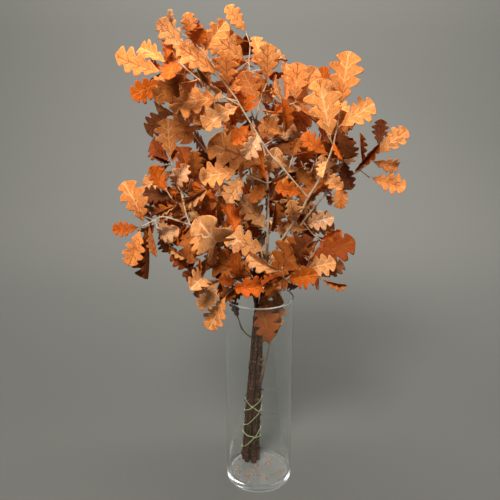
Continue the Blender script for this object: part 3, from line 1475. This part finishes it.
def fine_leaf(leaf, gather, rng, start):
    """Add one finished leaf to a piece, its stalk starting from the nearest wood."""
    base = TONES[leaf.tone]
    warm = 1 + rng.uniform(-WARM_JITTER, WARM_JITTER)
    bright = 1 + rng.uniform(-TONE_JITTER, TONE_JITTER)
    tone = tuple(min(1, part * bright * extra) for part, extra in zip(base, (1, warm, warm * warm)))
    steps = min(MOST_ROWS, round(leaf.length / ROW_STEP))
    columns = FEW_COLUMNS if leaf.length < SHORT_LEAF else COLUMNS
    rows = []
    for row in range(steps + 1):
        t = FIRST_ROW + (LAST_ROW - FIRST_ROW) * row / steps
        line = []
        for across in columns:
            hand = math.copysign(1, across)
            spot = (t, hand, leaf.phase)
            uneven = noise.noise(Vector([part * scale for part, scale in zip(spot, EDGE_PLACE)]))
            point = leaf.blade(t, across * (1 - IRREGULAR * (0.5 + 0.5 * uneven) * abs(across)))
            crumple = noise.noise(point * CRUMPLE_SCALE) * CRUMPLE * min(1, abs(across) * 2)
            line.append(point + leaf.normal * crumple)
        rows.append((t, line))
    width = len(columns)
    grid = [point for _, line in rows for point in line]
    normals = []
    for row in range(steps + 1):
        for column in range(width):
            ahead = rows[min(row + 1, steps)][1][column] - rows[max(row - 1, 0)][1][column]
            aside = rows[row][1][min(column + 1, width - 1)] - rows[row][1][max(column - 1, 0)]
            normals.append(aside.cross(ahead).normalized())
    maps = [((t - FIRST_LOBE) / LOBE_PERIOD + LOBE_COUNT_START, across / 2 + 0.5)
            for t, _ in rows for across in columns]
    count = len(grid)
    corners = [point + normal * LEAF_HALF for point, normal in zip(grid, normals)]
    corners += [point - normal * LEAF_HALF for point, normal in zip(grid, normals)]
    faces = []
    for row in range(steps):
        for column in range(width - 1):
            a = row * width + column
            b = a + 1
            c = b + width
            d = a + width
            faces.append((a, b, c, d))
            faces.append((d + count, c + count, b + count, a + count))
    border = [column for column in range(width)]
    border += [row * width + width - 1 for row in range(1, steps + 1)]
    border += [steps * width + column for column in range(width - 2, -1, -1)]
    border += [row * width for row in range(steps - 1, 0, -1)]
    for a, b in zip(border, border[1:] + border[:1]):
        faces.append((b, a, a + count, b + count))
    upper = [(*tone, 0.0)] * count
    lower = [(*tone, 1.0)] * count
    gather.add(corners, faces, upper + lower, maps + maps)
    rib_tone = tuple(min(1, part * gain) for part, gain in zip(tone, RIB_GAIN))
    stalk = [start] + [leaf.point(leaf.length * NECK_SHARE * share, 0) for share in STALK_STEPS]
    spine = stalk + [leaf.blade(RIB_END * step / RIB_STEPS, 0) for step in range(RIB_STEPS + 1)]
    radii = [RIB_RADIUS * (RIB_ROOT - RIB_THINS * index / (len(spine) - 1)) for index in range(len(spine))]
    add_rib(gather, spine, radii, RIB_SIDES, rib_tone)
    for hand in (1, -1):
        t = FIRST_VEIN
        while t < LAST_VEIN:
            line = []
            for step in range(VEIN_STEPS + 1):
                out = VEIN_REACH * (step / VEIN_STEPS)
                line.append(leaf.blade(t - VEIN_LEAD * (1 - out), hand * out))
            thin = [VEIN_RADIUS * (1 - VEIN_THINS * step / VEIN_STEPS) for step in range(VEIN_STEPS + 1)]
            add_rib(gather, line, thin, VEIN_SIDES, rib_tone)
            t += LOBE_PERIOD


def add_rib(gather, points, radii, sides, tone):
    """Add a slender rib that is the same pale colour all along."""
    corners, faces, maps = tube(points, radii, sides)
    gather.add(corners, faces, [(*tone, 0.0)] * len(corners), [PLAIN_PLACE] * len(corners))


# %% [markdown]
# ## Wood with buds and stubs
# The stems and twigs follow the limbs above on a closer curve that swells into knots here and there,
# and the thick ones have bark with real relief. Each limb ends in a small cluster of buds. A stem that
# was cut for a bunch keeps short stubs where its side twigs were trimmed off, mostly inside the vase.

# %% Fine wood
WOOD_STEP = 3.5 * MM
TWIG_SIDES = 8
STEM_SIDES = 20
STEM_RADIUS = 2.5 * MM
BARK_DEPTH = 1.5 * MM
TWIG_DEPTH = 0.25 * MM
KNOT_SCALE = 45
KNOT_START = 0.25
KNOT_SWELL = 1.2
BUD_LENGTH = 4.2 * MM
BUD_TONE = 0.6
BUDS = 3
BUD_SPREAD = 0.4
BUD_SIZES = (0.7, 1.1)
BUD_STEPS = (0, 0.25, 0.5, 0.75, 1)
BUD_WIDTHS = (0.5, 0.95, 1, 0.7, 0.12)
BUD_THICK = 0.3
BUD_SIDES = 6
STUB_COUNT = 11
STUB_LENGTH = (3 * MM, 8 * MM)
STUB_RADIUS = (1.5 * MM, 2.8 * MM)
STUB_TONE = 0.1
STUB_SUNK = 0.6
STUB_SPREAD = 3 * MM
STUB_STEPS = (0, 0.4, 0.75, 1)
STUB_WIDTHS = (1.3, 1, 0.9, 0.6)
# Twigs are dark below the shelter's height and reach their full paleness well above the vase's rim
SHELTER = 380 * MM
WEATHERED = 640 * MM
SHELTERED = 0.25


def fine_rod(points, radii, step):
    """Return a rod's smooth run and its radii, closely spaced."""
    ends = [points[0] * 2 - points[1]] + list(points) + [points[-1] * 2 - points[-2]]
    line = [points[0]]
    sizes = [radii[0]]
    for index, (before, start, end, after) in enumerate(zip(ends, ends[1:], ends[2:], ends[3:])):
        count = max(1, round((end - start).length / step))
        run = smooth_piece(before, start, end, after, count)
        line += run
        sizes += [radii[index] + (radii[index + 1] - radii[index]) * (part + 1) / count
                  for part in range(count)]
    return line, sizes


def smooth_piece(before, start, end, after, count):
    """Return evenly spaced points on one stretch of a Catmull-Rom curve."""
    run = []
    for index in range(1, count + 1):
        t = index / count
        run.append(0.5 * (2 * start + (end - before) * t
                          + (2 * before - 5 * start + 4 * end - after) * t ** 2
                          + (3 * start - before - 3 * end + after) * t ** 3))
    return run


def add_bud(gather, point, way, size, tone):
    """Add one pointed bud."""
    corners, faces, maps = tube([point + way * size * step for step in BUD_STEPS],
                                [size * BUD_THICK * width for width in BUD_WIDTHS], BUD_SIDES)
    gather.add(corners, faces, [(tone, tone, tone, 1.0)] * len(corners), maps)


def fine_wood(wood, gather, rng):
    """Add all the wood of one branch and return its fine points for the stalks to start from."""
    spots = []
    for index, (points, radii) in enumerate(wood.rods):
        line, sizes = fine_rod(points, radii, WOOD_STEP)
        is_stem = sizes[0] > STEM_RADIUS
        sides = STEM_SIDES if is_stem else TWIG_SIDES
        depth = BARK_DEPTH if is_stem else TWIG_DEPTH
        swollen = []
        for number, (point, size) in enumerate(zip(line, sizes)):
            knot = max(0, noise.noise(point * KNOT_SCALE) - KNOT_START) * KNOT_SWELL
            swollen.append(size * (1 + knot))
        corners, faces, maps = tube(line, swollen, sides, depth)
        tones = []
        for point, size in zip(line, swollen):
            thin = min(1, max(0, (BARK_THICK - size) / (BARK_THICK - BARK_THIN)))
            thin *= min(1, max(SHELTERED, (point.z - SHELTER) / (WEATHERED - SHELTER)))
            tones += [(thin, thin, thin, 1.0)] * sides
        gather.add(corners, faces, tones, maps)
        tip = (line[-1] - line[-2]).normalized()
        for _ in range(BUDS):
            way = (tip + Vector([rng.gauss(0, BUD_SPREAD) for _ in range(3)])).normalized()
            add_bud(gather, line[-1], way, BUD_LENGTH * rng.uniform(*BUD_SIZES), BUD_TONE)
        spots += line
        if index == 0:
            for _ in range(STUB_COUNT):
                add_stub(gather, line, swollen, rng)
    return spots


def add_stub(gather, line, sizes, rng):
    """Add the stub of a twig that was cut off, on the side of the stem away from the bundle."""
    low, high = BUNDLE[1][0] * MM, BUNDLE[-2][0] * MM
    number = rng.choice([index for index, point in enumerate(line) if low < point.z < high])
    middle = slot_centre(None, level_at(line[number].z / MM))
    way = line[number] - middle
    aside = [rng.gauss(0, STUB_SPREAD) for _ in range(2)]
    way = Vector((way.x + aside[0], way.y + aside[1], STUB_SPREAD)).normalized()
    root = line[number] + way * sizes[number] * STUB_SUNK
    length = rng.uniform(*STUB_LENGTH)
    thick = rng.uniform(*STUB_RADIUS)
    points = [root + way * length * share for share in STUB_STEPS]
    corners, faces, maps = tube(points, [thick * width for width in STUB_WIDTHS], TWIG_SIDES)
    gather.add(corners, faces, [(STUB_TONE, STUB_TONE, STUB_TONE, 1.0)] * len(corners), maps)


# %% Build every branch
DETAIL_SEED = 3
leaf_rng = random.Random(DETAIL_SEED)
for name, wood in woods.items():
    bark_gather = Gather()
    spots = fine_wood(wood, bark_gather, leaf_rng)
    tree = kdtree.KDTree(len(spots))
    for index, spot in enumerate(spots):
        tree.insert(spot, index)
    tree.balance()
    bark_gather.build(name + "_wood", bark_material, name)
    leaf_gather = Gather()
    for leaf in leaves[name]:
        start = tree.find(leaf.root)[0]
        fine_leaf(leaf, leaf_gather, leaf_rng, start)
    leaf_gather.build(name + "_leaves", leaf_material, name)

# %% [markdown]
# ## The glass vase
# The glass is the turned section again, with more steps and rounder corners than the plain model has,
# because a mirror-smooth surface shows every facet. Its shading is blended from ring to ring, so the
# long walls get rings of their own, and the blend stays within the rounded edges.

# %% Extra rings for the long walls
SUPPORT = 0.6 * MM
LONG_STEP = 15 * MM


def supported(outline):
    """Return the section with rings close to the ends of each long stretch and evenly between them."""
    line = []
    for (r1, z1), (r2, z2) in zip(outline, outline[1:] + outline[:1]):
        length = math.hypot(r2 - r1, z2 - z1)
        line.append((r1, z1))
        if length < LONG_STEP or r1 == r2 == 0:
            continue
        parts = round(length / LONG_STEP)
        shares = [SUPPORT / length] + [part / parts for part in range(1, parts)] + [1 - SUPPORT / length]
        line += [(r1 + (r2 - r1) * share, z1 + (z2 - z1) * share) for share in shares]
    return line


# %% Vase
vase_mesh = bpy.data.meshes.new("vase_glass")
outline = supported(vase_profile())
edges = [(index, (index + 1) % len(outline)) for index in range(len(outline))]
turned = [edge for edge in edges if outline[edge[0]][0] > 0 or outline[edge[1]][0] > 0]
vase_mesh.from_pydata([(radius, 0, height) for radius, height in outline], turned, [])
vase = bpy.data.objects.new("vase_glass", vase_mesh)
bpy.context.scene.collection.objects.link(vase)
screw = vase.modifiers.new("Turned", "SCREW")
screw.steps = 144
screw.render_steps = 144
screw.use_merge_vertices = True
screw.merge_threshold = 0.00005
vase_mesh.materials.append(glass_material)
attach(vase, "root")
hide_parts("glass_vase")
print("vase:", [round(side * 1000) for side in vase.dimensions], "mm before it is turned")

# %% [markdown]
# ## The twine
# The bundle is tied twice with thin yarn. Each winding is pulled tight round the outer stems in a
# tilted plane, and two windings that tilt opposite ways cross on the front. Yarn of two strands is two
# thin tubes that run round each other.

# %% Loops round the bundle
TWINE_RADIUS = 1.1 * MM
TWINE_GAP = 0.75 * MM
LOOP_POINTS = 18
UPPER_LOOPS = ((160, 193, -5), (158, 188, 185), (119, 166, 5))
LOWER_LOOPS = ((85, 97, 190), (54, 106, 0))
STRAND_RADIUS = 0.46 * MM
STRAND_OFFSET = 0.42 * MM
TWIST_LENGTH = 4.5 * MM
TWINE_STEP = 1.0 * MM


def winding(low, high, turn):
    """Return a loop of twine round the bundle, in a plane that rises from one side to the other."""
    middle = level_at((low + high) / 2)
    uphill = Vector((math.cos(math.radians(turn)), math.sin(math.radians(turn)), 0))
    slots = [plan["slot"] for plan in BRANCHES.values()]
    reach = (middle[3] + middle[5]) * MM
    points = []
    for step in range(LOOP_POINTS):
        angle = 2 * math.pi * step / LOOP_POINTS
        way = Vector((math.cos(angle), math.sin(angle), 0))
        slot = max(slots, key=lambda name: slot_centre(name, middle).dot(way))
        stand = middle[5] * MM + TWINE_GAP + TWINE_RADIUS
        rough = slot_centre(slot, middle) + way * stand - slot_centre(None, middle)
        height = middle[0] + (high - low) / 2 * rough.dot(uphill) / reach
        level = level_at(height)
        points.append(slot_centre(slot, level) + way * (level[5] * MM + TWINE_GAP + TWINE_RADIUS))
    return points


# %% Two strands twisted together
def closed_curve(points, step):
    """Return a close run of points on a smooth loop through the given ones."""
    count = len(points)
    run = []
    for index in range(count):
        before, start, end, after = (points[(index + shift) % count] for shift in (-1, 0, 1, 2))
        parts = max(2, round((end - start).length / step))
        run += smooth_piece(before, start, end, after, parts)
    return run


def add_yarn(gather, line, closed=True):
    """Add two thin strands that wind round a line."""
    for phase in (0, math.pi):
        strand = []
        across = (line[1] - line[0]).orthogonal().normalized()
        travelled = 0
        for index, point in enumerate(line):
            ahead = line[(index + 1) % len(line)] if closed else line[min(index + 1, len(line) - 1)]
            behind = line[index - 1] if closed or index else line[0]
            way = (ahead - behind).normalized()
            across = (across - way * across.dot(way)).normalized()
            turn = 2 * math.pi * travelled / TWIST_LENGTH + phase
            out = across * math.cos(turn) + way.cross(across) * math.sin(turn)
            strand.append(point + out * STRAND_OFFSET)
            travelled += (ahead - point).length
        if closed:
            strand.append(strand[0])
        corners, faces, maps = tube(strand, [STRAND_RADIUS] * len(strand), 6)
        gather.add(corners, faces, [(1, 1, 1, 1)] * len(corners), maps)


for node, loops in (("upper_twine", UPPER_LOOPS), ("lower_twine", LOWER_LOOPS)):
    twine = Gather()
    for loop in loops:
        add_yarn(twine, closed_curve(winding(*loop), TWINE_STEP))
    twine.build(node + "_yarn", twine_material, node)

# %% [markdown]
# ## Crumbs on the glass floor
# Dry leaves crumble when a bunch is put in its vase, so bits of blade lie round the stems' feet. Each
# bit is a small bent scrap that rests on the glass floor, clear of the stems.

# %% Crumbs
CRUMB_COUNT = 70
CRUMB_SIZES = (1.5 * MM, 6 * MM)
CRUMB_LIFT = 0.25 * MM
CRUMB_PLACE = (10.3, 0.7)
CRUMB_ROOM = 6 * MM
CRUMB_REACH = (0.55, 1.1)
CRUMB_CURL = 0.35
CRUMB_THICKNESS = 0.3 * MM
CRUMB_SEED = 8
crumb_rng = random.Random(CRUMB_SEED)
crumbs = Gather()
feet = [slot_centre(plan["slot"], BUNDLE[0]) for plan in BRANCHES.values()]
laid = 0
while laid < CRUMB_COUNT:
    angle = crumb_rng.uniform(0, 2 * math.pi)
    away = (VASE_RADIUS - WALL - INNER_ROUND) * math.sqrt(crumb_rng.random())
    middle = Vector((away * math.cos(angle), away * math.sin(angle), FLOOR + CRUMB_LIFT))
    size = crumb_rng.uniform(*CRUMB_SIZES)
    if any((Vector((foot.x, foot.y, middle.z)) - middle).length < CRUMB_ROOM + size for foot in feet):
        continue
    points = []
    sides = crumb_rng.choice((5, 6, 7))
    turn = crumb_rng.uniform(0, math.pi)
    for side in range(sides):
        corner = 2 * math.pi * side / sides + turn
        reach = size / 2 * crumb_rng.uniform(*CRUMB_REACH)
        lift = size * crumb_rng.uniform(0, CRUMB_CURL)
        points.append(middle + Vector((math.cos(corner) * reach, math.sin(corner) * reach, lift)))
    top = [point + Vector((0, 0, CRUMB_THICKNESS)) for point in points]
    rim = [(side, (side + 1) % sides, (side + 1) % sides + sides, side + sides) for side in range(sides)]
    faces = [tuple(range(sides))[::-1], tuple(range(sides, 2 * sides))] + rim
    tone = TONES[crumb_rng.choice(("light", "vivid", "tan", "rust", "pale"))]
    crumbs.add(points + top, faces, [(*tone, 0.0)] * (2 * sides), [CRUMB_PLACE] * (2 * sides))
    laid += 1
crumbs.build("crumbs", leaf_material, None)

# %% [markdown]
# ## The studio
# The bunch stands on a plain pale floor that curves up into a backdrop, which grows a little lighter all
# the way back and up. One soft lamp is the key from the upper left, a second fills from the right, a
# long narrow one behind draws the bright edges of the glass, and a fourth lights the backdrop alone.

# %% Floor and backdrop
WALL_GREY = (*linear(120, 119, 113), 1)
FLOOR_GREY = (*linear(93, 92, 87), 1)
# Along the sweep, back over the floor and then up the wall
BLEND_FROM = 0.2
BLEND_TO = 2.1
SWEEP_DROP = 0.5 * MM
SWEEP_WIDTH = 5
SWEEP_DEPTH = 2.4
SWEEP_FRONT = -3.5
SWEEP_HEIGHT = 5
SWEEP_RADIUS = 1.2
PAPER_ROUGHNESS = 0.85
sweep_line = [(SWEEP_FRONT, 0), (SWEEP_DEPTH - SWEEP_RADIUS, 0)]
for degrees in range(10, 91, 10):
    angle = math.radians(degrees)
    sweep_line.append((SWEEP_DEPTH - SWEEP_RADIUS + SWEEP_RADIUS * math.sin(angle),
                       SWEEP_RADIUS * (1 - math.cos(angle))))
sweep_line.append((SWEEP_DEPTH, SWEEP_HEIGHT))
sweep_mesh = bpy.data.meshes.new("sweep")
sweep_mesh.from_pydata([(side * SWEEP_WIDTH / 2, y, z - SWEEP_DROP)
                        for y, z in sweep_line for side in (-1, 1)], [],
                       [(2 * step, 2 * step + 1, 2 * step + 3, 2 * step + 2)
                        for step in range(len(sweep_line) - 1)])
sweep_mesh.polygons.foreach_set("use_smooth", [True] * len(sweep_mesh.polygons))
sweep = bpy.data.objects.new("sweep", sweep_mesh)
bpy.context.scene.collection.objects.link(sweep)
paper = bpy.data.materials.new("paper")
paper.use_nodes = True
tree = paper.node_tree
coords = tree.nodes.new("ShaderNodeTexCoord")
split = tree.nodes.new("ShaderNodeSeparateXYZ")
tree.links.new(coords.outputs["Object"], split.inputs["Vector"])
along = add_math(tree, "ADD", split.outputs["Y"], split.outputs["Z"])
grey = add_mix(tree, add_range(tree, along, BLEND_FROM, BLEND_TO), FLOOR_GREY, WALL_GREY)
tree.links.new(grey, tree.nodes["Principled BSDF"].inputs["Base Color"])
tree.nodes["Principled BSDF"].inputs["Roughness"].default_value = PAPER_ROUGHNESS
sweep_mesh.materials.append(paper)

# %% Lamps and sky
def add_lamp(name, place, target, width, height, power, colour):
    """Add a soft rectangular lamp that faces a target."""
    data = bpy.data.lights.new(name, "AREA")
    data.shape = "RECTANGLE"
    data.size = width
    data.size_y = height
    data.energy = power
    data.color = colour
    lamp = bpy.data.objects.new(name, data)
    lamp.location = place
    lamp.rotation_euler = (Vector(target) - Vector(place)).to_track_quat("-Z", "Y").to_euler()
    bpy.context.scene.collection.objects.link(lamp)


# Each lamp's place and target, width and height in metres, power in watts, and colour
LAMPS = {
    "key": ((-0.5, -1.6, 2.3), (0, 0, 0.8), 0.7, 0.7, 88, (1, 0.98, 0.95)),
    "fill": ((1.9, -1.3, 1.4), (0, 0, 0.6), 1.4, 1.4, 12, (1, 1, 1)),
    "rim": ((0.9, 1.5, 1.9), (0, 0, 0.7), 0.8, 1.4, 8, (1, 1, 1)),
    "wall": ((0.1, 0.6, 3.0), (0.1, 2.4, 0.8), 2.8, 0.5, 83, (1, 1, 1)),
}
for name, settings in LAMPS.items():
    add_lamp(name, *settings)

# The room is dim for matt surfaces, but glass also mirrors its pale side walls
ROOM_LIGHT = 0.06
ROOM_MIRRORED = 1.6
ROOM_FRONT = 0.03
ROOM_SIDES = (0.35, 0.75)
SKY_COLOUR = (0.96, 0.98, 1, 1)
world = bpy.data.worlds.new("studio")
world.use_nodes = True
tree = world.node_tree
sky = tree.nodes["Background"]
sky.inputs["Color"].default_value = SKY_COLOUR
rays = tree.nodes.new("ShaderNodeLightPath")
mirrored = add_math(tree, "MAXIMUM", rays.outputs["Is Glossy Ray"], rays.outputs["Is Transmission Ray"])
way = tree.nodes.new("ShaderNodeTexCoord")
parts = tree.nodes.new("ShaderNodeSeparateXYZ")
tree.links.new(way.outputs["Generated"], parts.inputs["Vector"])
sideways = add_math(tree, "ABSOLUTE", parts.outputs["X"])
walls = add_range(tree, sideways, *ROOM_SIDES, ROOM_FRONT, ROOM_MIRRORED)
lift = add_math(tree, "SUBTRACT", walls, ROOM_LIGHT)
tree.links.new(add_math(tree, "MULTIPLY_ADD", mirrored, lift, ROOM_LIGHT), sky.inputs["Strength"])
bpy.context.scene.world = world
bpy.context.scene.view_settings.view_transform = "Standard"
print("lamps:", [item.name for item in bpy.data.lights])
